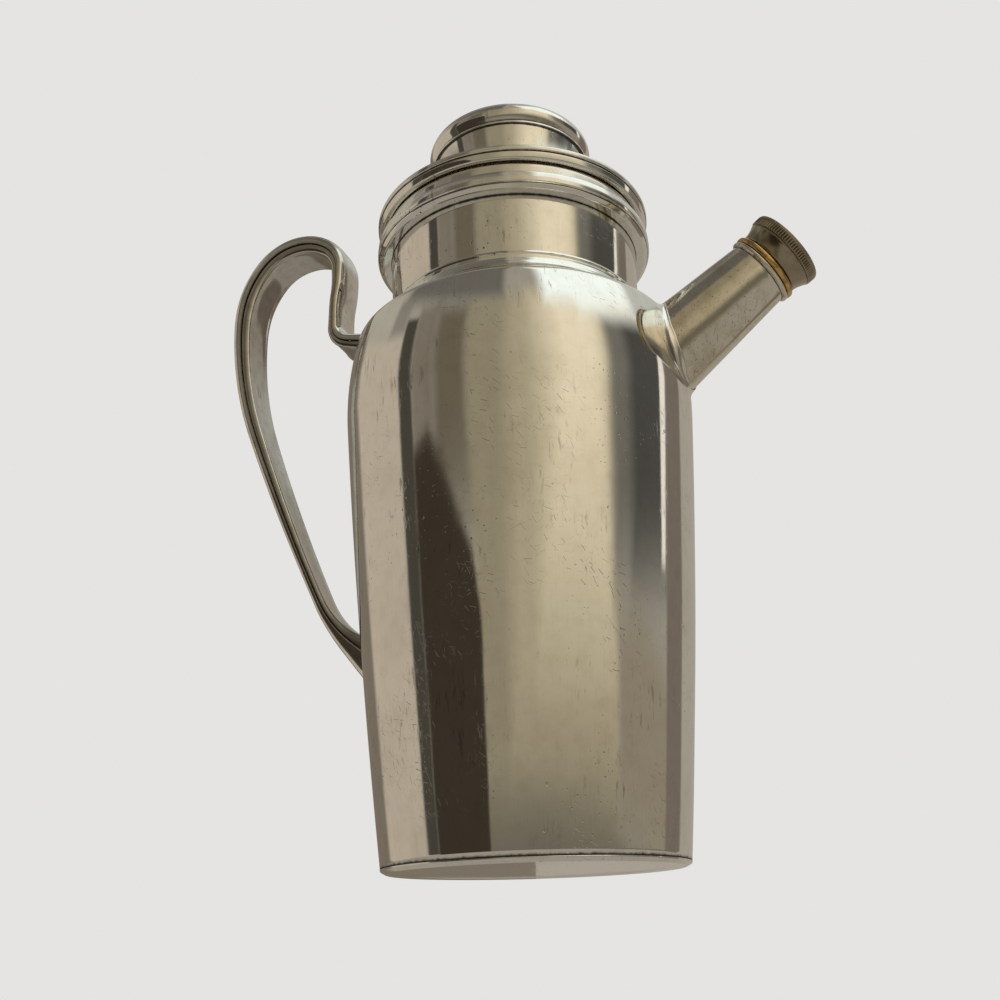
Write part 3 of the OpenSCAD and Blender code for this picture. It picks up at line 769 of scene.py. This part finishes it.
def build_cap(material):
    """Flared skirt, a step and a milled rim with a plain bright edge, hollow inside."""
    start, ridges, knurl = SPOUT_LEN + 3.4, 84, 0.34
    outline = [(10.75, start + 0.3), (10.9, start), (11.5, start, 0.3)]
    for k in range(11):
        u = k / 10
        outline.append((11.75 + 1.25 * u ** 1.8, start + 0.3 + 4.5 * u))
    outline += [(13.05, start + 5.15, 0.2), (12.85, start + 5.3, 0.1), (13.3, start + 5.45, 0.1)]
    outline += [(13.55, start + 5.8, 0.2), (13.6, start + 8.2, 0.1)]
    outline += [(13.45, start + 8.35, 0.1), (13.55, start + 8.75, 0.25), (12.9, start + 9.1, 0.4),
                (11.3, start + 9.15, 0.3), (11.0, start + 8.95, 0.2), (6, start + 9.05, 20), (0, start + 9.2)]
    profile = resample(rounded(outline, 5), 0.5)
    inner = resample([(0, start + 8.1), (10.7, start + 8.1), (10.7, start + 0.3)], 2.5)
    lo, hi = start + 5.6, start + 8.15
    rows, tarnish_and_shade, v_at, run = [], [], [], 0.0
    count = ridges * 6
    for i, (r, s) in enumerate(profile + inner):
        if i:
            run += math.dist((r, s), (profile + inner)[i - 1])
        v_at.append(run)
        cut = smooth((s - lo) / 0.25) * smooth((hi - s) / 0.25) if r > 13.0 and i < len(profile) else 0.0
        row = []
        for j in range(count):
            a = 2 * math.pi * j / count
            wave = 0.5 + 0.5 * math.cos(2 * math.pi * (j % 6) / 6)
            d = knurl * cut * (1 - wave)
            row.append(on_axis(r - d, a, s))
            # Darkened knurl valleys and crease at the step: tarnish and painted shade.
            step_tarnish_and_shade = 0.6 * smooth(1 - abs(s - start - 5.3) / 0.3) * (r > 11)
            tarnish_and_shade.append(min(1.0, 0.75 * cut * (1 - wave) + step_tarnish_and_shade))
        rows.append(row)
    v_at.append(run + 1)
    u_at = [85.0 * j / count for j in range(count + 1)]
    obj = make_object("cap", grid_mesh("cap", rows, True, True, u_at, v_at, tarnish_and_shade))
    tidy_mesh(obj)
    mark_sharp(obj, 50)
    return finish_piece(obj, material, "spout_cap", ["cap_shell"])


# ---- handle ----

HANDLE_W, HANDLE_T, HANDLE_TAPER, HANDLE_REACH = 15.6, 7.8, 0.68, 109.4
LOOP_TOP_Z, SHELL_SHARE, FACE_WIDTH = 236.4, 0.6, 0.95
# Sheet of the handle's halves, width of the darkened line along their seam (tarnish and painted shade), and
# grain of the solder
STRAP_SHEET, SEAM_TARNISH_AND_SHADE_WIDTH, SOLDER_VOXEL = 0.6, 0.42, 0.28


def leg(path, length, step=1.0):
    (x, z), heading = path[-1]
    n = max(1, round(length / step))
    a = math.radians(heading)
    path += [((x + length * k / n * math.cos(a), z + length * k / n * math.sin(a)), heading)
             for k in range(1, n + 1)]


def bend(path, radius, heading, step=1.0):
    (x, z), start = path[-1]
    sign = 1 if heading > start else -1
    n = max(2, round(radius * math.radians(abs(heading - start)) / step))
    a0 = math.radians(start)
    cx, cz = x - sign * radius * math.sin(a0), z + sign * radius * math.cos(a0)
    for k in range(1, n + 1):
        a = math.radians(start + (heading - start) * k / n)
        path.append(((cx + sign * radius * math.sin(a), cz - sign * radius * math.cos(a)), math.degrees(a)))


def handle_path():
    """The line of the handle's seam from its upper end, as ((x, z), heading), about a millimetre apart."""
    def bow(path):
        for radius, heading in ((54, 82), (54, 95), (12.6, 140), (19, 180)):
            bend(path, radius, heading)

    def back(path):
        for radius, heading in ((19, 230), (34, 258), (45, 270)):
            bend(path, radius, heading)

    drafts = [((0, 0), 90)], [((0, 0), 180)]
    bow(drafts[0])
    back(drafts[1])
    path = [((-42.1, 183.4), 165)]
    leg(path, 22.9)
    bend(path, 8, 90, 0.6)
    leg(path, LOOP_TOP_Z - drafts[0][-1][0][1] - path[-1][0][1])
    bow(path)
    leg(path, path[-1][0][0] + HANDLE_REACH + drafts[1][-1][0][0])
    back(path)
    bend(path, 137, 290)
    bend(path, 800, 295.2)
    bend(path, 45, 322)
    leg(path, 12)
    return path


def lengths(points):
    """Distance from the first point to each point, along the polyline."""
    out = [0.0]
    for a, b in zip(points, points[1:]):
        out.append(out[-1] + math.dist(a, b))
    return out


PATH = handle_path()
RUN = lengths([p[0] for p in PATH])

# Shares of the handle's depth and taper at distances along it
DEPTH_SHARES = ((0, 0.95), (18, 0.92), (28, 0.72), (36, 0.57), (46, 0.57), (62, 0.74), (84, 1.17),
                (100, 1.18), (129, 1), (176, 0.79), (229, 0.58), (250, 0.57), (262, 0.8), (274, 1.45),
                (288, 2.1))
WIDTH_SHARES = ((129, 0), (154, 0.2), (177, 0.42), (204, 0.58), (229, 0.76), (251, 1), (286, 1))


def smoothed(s, table, reach=6.0):
    xs, ys = zip(*table)
    return sum(float(np.interp(s + reach * k / 4, xs, ys)) for k in range(-4, 5)) / 9


def even(points, count):
    """count points spaced evenly along a polyline."""
    steps = lengths(points)
    places = np.linspace(0, steps[-1], count)
    xs, ys = zip(*points)
    return list(zip(np.interp(places, steps, xs).tolist(), np.interp(places, steps, ys).tolist()))


def outer_section(w, depth):
    """Half of the strap on its outer side: an even round shell that turns under at the seam."""
    arch = []
    for k in range(121):
        a = math.pi * k / 120
        c, s = math.cos(a), math.sin(a)
        arch.append((-w / 2 * math.copysign(abs(c) ** 0.5, c), depth * abs(s) ** 0.6))
    shell = even([(x, max(y, 0.16)) for x, y in arch], 40)
    turn = [(-w / 2 + 0.3, 0.02), (-w / 2 + 0.08, 0.05)]
    return turn + shell + [(-x, y) for x, y in reversed(turn)]


def inner_section(w, depth):
    """The other half: a narrow flank, a raised ridge along each edge and a dished face."""
    half = w / 2
    flank, ridge = min(depth * 0.75, 2.0), 1.15
    side = [(half, 0.16), (half, depth - flank)]
    for k in range(1, 13):
        a = math.pi / 2 * k / 12
        side.append((half - ridge * (1 - math.cos(a)), depth - flank + flank * math.sin(a)))
    face = []
    dish = min(0.13 * depth, 0.42)
    for k in range(1, 24):
        u = 1 - 2 * k / 24
        face.append(((half - ridge) * u, depth - dish * (1 - u ** 4) - 0.12 * dish * (1 - u * u)))
    whole = side + face + [(-x, y) for x, y in reversed(side)]
    turn = [(half - 0.3, 0.02), (half - 0.07, 0.05)]
    return turn + even(whole, 44) + [(-x, y) for x, y in reversed(turn)]


def place_section(i, points, sign):
    (x, z), heading = PATH[i]
    a = math.radians(heading)
    return [Vector((x + sign * d * math.sin(a), across, z - sign * d * math.cos(a))) for across, d in points]


def trim_to_wall(rows, sink=0.15):
    """Pulls the points inside the body back to where their own line crosses its surface."""
    def depth(p):
        return math.hypot(p.x, p.y) - (wall_radius(p.z) - sink)

    count = len(rows[0])
    rims = ([], [])
    for j in range(count):
        column = [row[j] for row in rows]
        for end, order in enumerate((range(len(column)), range(len(column) - 1, -1, -1))):
            order = list(order)
            for a, b in zip(order, order[1:]):
                if depth(column[a]) < 0 <= depth(column[b]):
                    lo, hi = column[a], column[b]
                    for _ in range(24):
                        mid = (lo + hi) / 2
                        lo, hi = (mid, hi) if depth(mid) < 0 else (lo, mid)
                    for k in order[:order.index(a) + 1]:
                        rows[k][j] = hi.copy()
                    rims[end].append(hi.copy())
                    break
    return rims


def build_strap(name, section, sign, share, width, node, material):
    rows, tarnish_and_shade = [], []
    for i, s in enumerate(RUN):
        w = HANDLE_W * width * (1 - (1 - HANDLE_TAPER) * smoothed(s, WIDTH_SHARES))
        points = section(w, HANDLE_T * share * smoothed(s, DEPTH_SHARES))
        rows.append(place_section(i, points, sign))
        gone, n = lengths(points[1:]), len(points)
        # Darkened towards the seam at both edges of the section: tarnish and painted shade.
        tarnish_and_shade += [smooth(1.05 - min(gone[max(k - 1, 0)], gone[-1] - gone[min(k, n - 2)]) / SEAM_TARNISH_AND_SHADE_WIDTH)
                 for k in range(n)]
    rims = trim_to_wall(rows)
    n = len(rows[0])
    u_at = [26.0 * j / n for j in range(n + 1)]
    obj = make_object(name, grid_mesh(name, rows, False, False, u_at, RUN + [RUN[-1] + 1], tarnish_and_shade))
    tidy_mesh(obj, 1e-6)
    solid = obj.modifiers.new("wall", "SOLIDIFY")
    solid.thickness, solid.offset = STRAP_SHEET * MM, -1
    finish_piece(obj, material, "vessel", [node])
    return rims


def solder_seam(name, points, beads, radius, node, material, seed):
    """Solder run round a joint: a thin uneven fillet with a few beads, melted into one surface."""
    draw = random.Random(seed)
    parts = bmesh.new()
    for p in points:
        size = radius * (0.75 + 0.5 * draw.random())
        made = bmesh.ops.create_icosphere(parts, subdivisions=2, radius=size * MM)
        bmesh.ops.translate(parts, verts=made["verts"], vec=p * MM)
    for p, size in beads:
        made = bmesh.ops.create_icosphere(parts, subdivisions=3, radius=size * MM)
        bmesh.ops.translate(parts, verts=made["verts"], vec=p * MM)
    mesh = bpy.data.meshes.new(name)
    parts.to_mesh(mesh)
    parts.free()
    obj = make_object(name, mesh)
    melt = obj.modifiers.new("melt", "REMESH")
    melt.mode, melt.voxel_size = "VOXEL", SOLDER_VOXEL * MM
    soften = obj.modifiers.new("soften", "SMOOTH")
    soften.factor, soften.iterations = 0.6, 6
    apply_modifier(obj, melt)
    apply_modifier(obj, soften)
    obj.data.attributes.new("tarnish_and_shade", "FLOAT", "POINT")
    return finish_piece(obj, material, "vessel", [node])


def spaced(points, step):
    """Points along the polyline, step apart."""
    out = [points[0]]
    for p in points[1:]:
        if (p - out[-1]).length >= step:
            n = int((p - out[-1]).length / step)
            start = out[-1]
            out += [start.lerp(p, k / n) for k in range(1, n + 1)]
    return out


def build_handle(material, face, solder):
    outer_rims = build_strap("handle_shell", outer_section, 1, SHELL_SHARE, 1, "handle_back", material)
    inner_rims = build_strap("handle_inner", inner_section, -1, 1 - SHELL_SHARE, FACE_WIDTH, "handle_face",
                             face)
    upper = spaced(outer_rims[0][2:-2], 0.6) + spaced(inner_rims[0][1:-1], 0.6)
    lower = spaced(inner_rims[1][1:-1], 0.6)
    top = max(inner_rims[1], key=lambda p: p.z)
    beads = [(top + Vector((-1.4, y, z + 2.4)), size) for y, z, size in
             ((-3.4, -0.2, 1.2), (-1.4, 0.8, 1.5), (0.9, 0.5, 1.3), (2.8, -0.3, 1.3), (-2.4, 1.5, 0.9))]
    solder_seam("handle_upper_solder", upper, [], 0.42, "handle_upper_joint", solder, 5)
    solder_seam("handle_lower_solder", lower, beads, 0.5, "handle_lower_joint", solder, 9)


# ---- staging ----

CAMERA_AT = Vector((0.11117, -0.33187, -0.01848))
CAMERA_HEADING, CAMERA_PITCH, CAMERA_ROLL = -19.74, 21.37, -1.66


def place_camera():
    """Looks up at the shaker from just below its base."""
    data = bpy.data.cameras.new("camera")
    data.sensor_width = 36.0
    data.lens = 40.44
    camera = bpy.data.objects.new("camera", data)
    SCENE.collection.objects.link(camera)
    turn = Matrix.Rotation(math.radians(-CAMERA_HEADING), 4, "Z")
    turn = turn @ Matrix.Rotation(math.radians(90 + CAMERA_PITCH), 4, "X")
    turn = turn @ Matrix.Rotation(math.radians(CAMERA_ROLL), 4, "Z")
    camera.matrix_world = Matrix.Translation(CAMERA_AT) @ turn
    SCENE.camera = camera


# Panels of the light tent round the object. Azimuth is in degrees from the camera's side, to the
# right as the object sees it, elevation is above the horizon. Each is its corners, colour and soft edge.
PANELS = [
    # far sides and back
    (((-185, -20), (-128, -20), (-128, 42), (-185, 42)), (0.20, 0.17, 0.13), 5),
    (((-128, -20), (-81, -20), (-81, 36), (-128, 36)), (0.52, 0.45, 0.36), 3),
    (((-150, 36), (-96, 36), (-92, 52), (-150, 52)), (0.44, 0.41, 0.34), 3),
    (((-96, 36), (-82, 36), (-82, 46), (-96, 46)), (0.26, 0.24, 0.20), 3),
    (((-180, 52), (-90, 52), (-90, 75), (-180, 75)), (0.20, 0.19, 0.17), 6),
    # dark post and the shaded corner behind it
    (((-71, 16), (-56, 16), (-56, 44), (-71, 44)), (0.22, 0.19, 0.15), 3),
    (((-56, 12), (-30, 12), (-30, 44), (-56, 44)), (0.15, 0.125, 0.088), 7),
    # long pale screen beside the camera
    (((-32, -20), (62, -20), (62, 46), (-32, 46)), (0.31, 0.27, 0.185), 5),
    (((-10, -4), (60, -4), (60, 46), (-4, 46)), (0.45, 0.39, 0.27), 8),
    (((12, 4), (57, 4), (57, 46), (10, 46)), (0.68, 0.59, 0.42), 9),
    (((24, 14), (54, 14), (54, 46), (22, 46)), (0.90, 0.79, 0.58), 8),
    (((-32, -20), (104, -20), (104, -8), (-32, -8)), (0.17, 0.15, 0.115), 4),
    # dark flag low on the left of the camera
    (((-71, -20), (-31, -20), (-29, 4), (-33, 9), (-40, 11.5), (-50, 15), (-60, 18), (-71, 17)),
     (0.047, 0.036, 0.026), 1.0),
    (((-81, -12), (-71, -12), (-71, 40), (-81, 40)), (0.066, 0.06, 0.047), 1.0),
    # dark flag on the right, with a paler foot
    (((60, 8), (104, 11), (108, 38), (60, 38)), (0.18, 0.168, 0.145), 5),
    (((74, 9), (103, 12), (110, 38), (74, 38)), (0.075, 0.072, 0.063), 6),
    (((62, -8), (108, -8), (104, 10), (90, 10), (74, 7), (62, 8)), (0.29, 0.25, 0.185), 3),
    # strip light and the panels beyond it
    (((105, -20), (126, -20), (126, 36), (113, 36), (108, 24), (105, 10)), (0.19, 0.155, 0.125), 1.5),
    (((126, -20), (185, -20), (185, 36), (126, 36)), (0.40, 0.36, 0.30), 2),
    (((99.6, 11), (104.6, 11), (107, 24), (110, 35), (105.5, 35), (101, 24)), (0.90, 0.84, 0.75), 0.7),
    # window overhead on the right, dull ceiling on the left
    (((-90, 46), (-8, 46), (-8, 90), (-90, 90)), (0.15, 0.14, 0.12), 4),
    (((92, 38), (180, 38), (180, 75), (92, 75)), (0.56, 0.57, 0.52), 5),
    (((44, 38), (92, 38), (92, 50), (44, 50)), (1.0, 1.0, 0.9), 5),
    (((22, 44), (92, 44), (101, 60), (101, 76), (16, 76)), (1.10, 1.17, 1.12), 6),
]
TENT_BASE = (0.36, 0.33, 0.28)
TENT_RADIUS = 2.5
TENT_CENTRE = Vector((0, 0, 0.12))


def smooth_all(x):
    x = np.clip(x, 0.0, 1.0)
    return x * x * (3 - 2 * x)


def panel_cover(corners, azimuth, elevation, soft):
    """How much of a panel shows in each direction: 0 outside, 1 inside, smooth across its edge."""
    area = sum(a[0] * b[1] - b[0] * a[1] for a, b in zip(corners, corners[1:] + corners[:1]))
    sign = 1 if area > 0 else -1
    inside = np.full(azimuth.shape, 1e9)
    for (ax, ay), (bx, by) in zip(corners, corners[1:] + corners[:1]):
        length = math.hypot(bx - ax, by - ay)
        side = sign * ((bx - ax) * (elevation - ay) - (by - ay) * (azimuth - ax)) / length
        inside = np.minimum(inside, side)
    return smooth_all(inside / soft / 2 + 0.5)


def tent_colours(azimuth, elevation):
    colours = np.empty(azimuth.shape + (4,))
    colours[...] = (*TENT_BASE, 1.0)
    for corners, paint, soft in PANELS:
        cover = panel_cover(corners, azimuth, elevation, soft)[..., None]
        colours[..., :3] += cover * (np.array(paint) - colours[..., :3])
    return colours


def build_tent():
    """A sphere of soft panels round the studio that only reflections and lighting see."""
    columns, rows = 720, 240
    azimuth, elevation = np.meshgrid(np.linspace(-180, 180, columns + 1), np.linspace(-90, 90, rows + 1))
    a = math.atan2(CAMERA_AT.y, CAMERA_AT.x) + np.radians(azimuth)
    e = np.radians(elevation)
    points = np.stack((np.cos(a) * np.cos(e), np.sin(a) * np.cos(e), np.sin(e)), -1) * TENT_RADIUS
    points += np.array(TENT_CENTRE)
    k = (np.arange(rows)[:, None] * (columns + 1) + np.arange(columns)).reshape(-1)
    faces = np.stack((k, k + columns + 1, k + columns + 2, k + 1), -1)
    mesh = bpy.data.meshes.new("tent")
    mesh.from_pydata(points.reshape(-1, 3), [], faces.tolist())
    colours = tent_colours(azimuth, elevation).reshape(-1)
    mesh.color_attributes.new("panel", "FLOAT_COLOR", "POINT").data.foreach_set("color", colours)
    g = Graph("tent")
    g.tree.nodes.remove(g.shader)
    glow = g.node("ShaderNodeEmission")
    g.put(glow.inputs["Color"], g.node("ShaderNodeAttribute", attribute_name="panel").outputs["Color"])
    g.put(g.tree.nodes["Material Output"].inputs["Surface"], glow.outputs[0])
    g.material.cycles.emission_sampling = "NONE"
    mesh.materials.append(g.material)
    tent = make_object("tent", mesh)
    tent.visible_camera = False
    tent.visible_shadow = False


def build_floor():
    """Pale floor that is seen from above only, because the camera looks up from below it."""
    size = 2.3
    mesh = bpy.data.meshes.new("floor")
    corners = [(-size, -size, 0), (size, -size, 0), (size, size, 0), (-size, size, 0)]
    mesh.from_pydata(corners, [], [(0, 1, 2, 3)])
    g = Graph("floor")
    g.shader.inputs["Base Color"].default_value = rgb(0.80, 0.79, 0.77)
    g.shader.inputs["Roughness"].default_value = 0.9
    clear = g.node("ShaderNodeBsdfTransparent")
    pick = g.node("ShaderNodeMixShader")
    g.put(pick.inputs[0], g.node("ShaderNodeNewGeometry").outputs["Backfacing"])
    g.put(pick.inputs[1], g.shader.outputs[0])
    g.put(pick.inputs[2], clear.outputs[0])
    g.put(g.tree.nodes["Material Output"].inputs["Surface"], pick.outputs[0])
    mesh.materials.append(g.material)
    floor = make_object("floor", mesh)
    floor.location.z = -0.0005
    floor.visible_glossy = False


def light_scene():
    world = bpy.data.worlds.new("studio")
    SCENE.world = world
    world.use_nodes = True
    back = world.node_tree.nodes["Background"]
    back.inputs["Color"].default_value = rgb(0.78, 0.775, 0.76)
    back.inputs["Strength"].default_value = 1.0
    key = bpy.data.lights.new("key", "AREA")
    key.shape, key.size, key.energy = "DISK", 1.2, 22
    lamp = bpy.data.objects.new("key", key)
    lamp.location = (0.5, -0.6, 1.5)
    lamp.rotation_euler = (Vector((0, 0, 0.1)) - lamp.location).to_track_quat("-Z", "Y").to_euler()
    lamp.visible_glossy = False
    SCENE.collection.objects.link(lamp)
    SCENE.view_settings.view_transform = "Standard"


# ---- assembly ----


def dress_cad(materials):
    """Better materials for the CAD nodes that are shown as they are."""
    for node, material in materials.items():
        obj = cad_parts[node]
        obj.data.materials.clear()
        obj.data.materials.append(material)


def build_all():
    plate = silver("plate")
    lining = silver("lining", clean=(0.62, 0.58, 0.50), dull=(0.40, 0.35, 0.27), gloss=0.3, source="Object",
                    grain=(1, 1))
    tarnished = silver("tarnished", clean=(0.80, 0.76, 0.67), dull=(0.50, 0.43, 0.31), gloss=0.10, pitted=1.0,
                       dulled=0.95, stained=0.75, speckled=0.8, streak_run=0.8)
    strap = silver("strap", clean=(0.80, 0.78, 0.73), dull=(0.44, 0.41, 0.35), gloss=0.08, streaked=2.0,
                   dulled=0.9, stained=0.7, streak_run=0.12)
    # Darker copy of the strap's silver for the handle's face turned toward the body: heavier tarnish and
    # painted shade.
    dished = silver("dished", clean=(0.60, 0.58, 0.54), dull=(0.34, 0.31, 0.26), gloss=0.09, streaked=2.5,
                    dulled=1.0, stained=0.8, streak_run=0.12)
    trim_brass = brass("trim_brass")
    cap_metal = silver("cap_metal", clean=(0.42, 0.37, 0.27), dull=(0.20, 0.165, 0.11), gloss=0.16,
                       dulled=0.9)
    solder = silver("solder", clean=(0.8, 0.8, 0.76), dull=(0.6, 0.58, 0.52), gloss=0.15, source="Object",
                    grain=(1, 1))
    build_body(plate)
    build_base(plate)
    build_neck(plate)
    build_rim(plate)
    _, crown_top = build_lid(plate)
    build_knob(plate, crown_top)
    build_collar(plate)
    build_spout(tarnished)
    build_nozzle(trim_brass)
    build_cap(cap_metal)
    build_handle(strap, dished, solder)
    inner_brass = brass("inner_brass", source="Object")
    pressed_cork = cork("pressed_cork")
    dress_cad({"base_flange": lining, "neck_liner": lining, "strainer": lining, "lid_plug": lining,
               "lid_plate": lining, "cap_insert": inner_brass, "cap_washer": pressed_cork,
               "lid_gasket": pressed_cork})


place_camera()
build_all()
build_tent()
build_floor()
light_scene()
